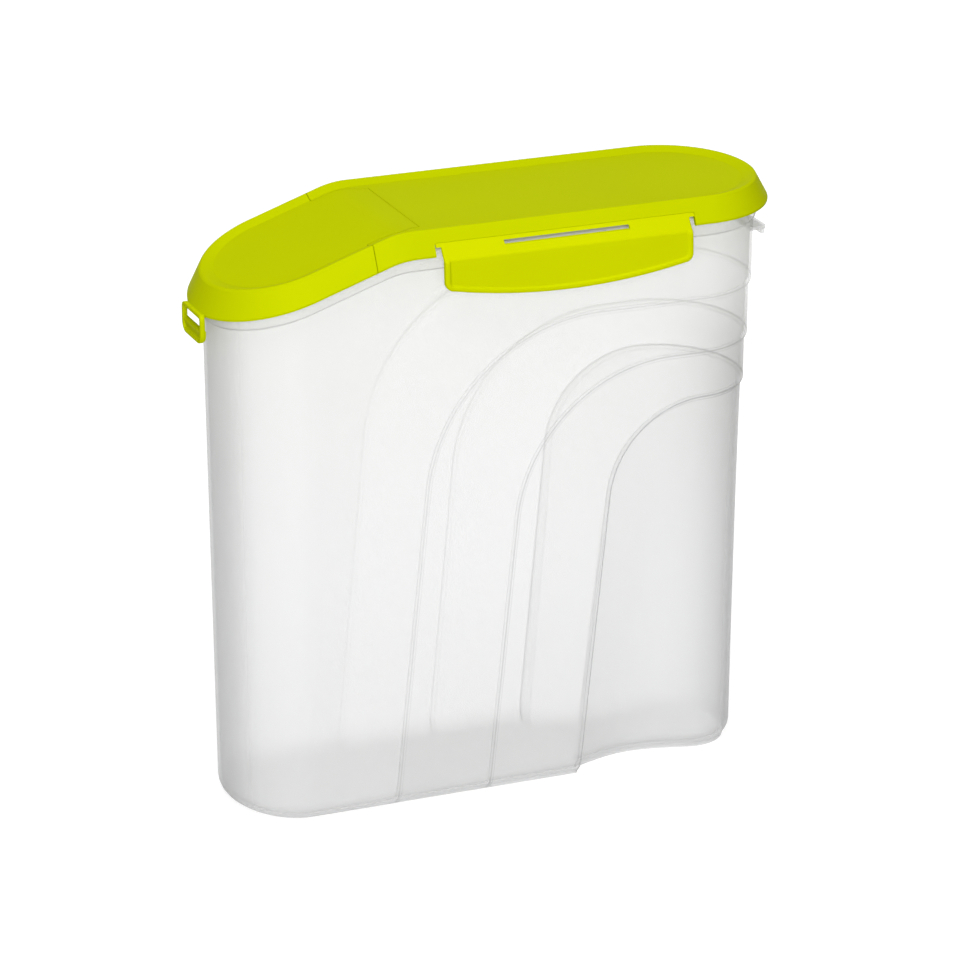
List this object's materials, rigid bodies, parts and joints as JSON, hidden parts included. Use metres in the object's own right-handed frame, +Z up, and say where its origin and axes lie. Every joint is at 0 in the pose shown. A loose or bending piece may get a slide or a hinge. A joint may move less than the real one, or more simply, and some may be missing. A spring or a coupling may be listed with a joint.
{
  "type": "cereal container",
  "caption": "Tall oblong food keeper in frosted plastic with arc steps and a side grip, a lift-off lid clipped on at the sides and a flip-up pouring spout with a finger loop.",
  "frame": {"origin": "middle of the flat base, on the surface that the container stands on", "axes": "+X along the length from the pouring nose to the rear tab, +Y across to the back side, +Z up out of the container"},
  "size_m": [0.2648, 0.1024, 0.2644],
  "materials": {
    "tub": "frosted translucent polypropylene, satin outside",
    "lid": "lime green polypropylene, satin gloss",
    "clip": "lime green polypropylene, satin gloss"
  },
  "bodies": {
    "container": {"container": "tub"},
    "lid": {"lid": "lid"},
    "spout_flap": {"spout_flap": "lid"},
    "clip_front": {"clip_front": "clip"},
    "clip_back": {"clip_back": "clip"}
  },
  "joints": [
    {"name": "lid_lift", "type": "slide", "parent": "container", "child": "lid", "axis": [0, 0, 1], "range_m": [0, 0.06]},
    {"name": "flap_hinge", "type": "hinge", "parent": "lid", "child": "spout_flap", "pos_m": [-0.0405, 0, 0.2626], "axis": [0, 1, 0], "range_deg": [0, 150]},
    {"name": "clip_front_hinge", "type": "hinge", "parent": "lid", "child": "clip_front", "pos_m": [0, -0.04393, 0.259], "axis": [-1, 0, 0], "range_deg": [0, 110]},
    {"name": "clip_back_hinge", "type": "hinge", "parent": "lid", "child": "clip_back", "pos_m": [0, 0.04393, 0.259], "axis": [1, 0, 0], "range_deg": [0, 110]}
  ]
}
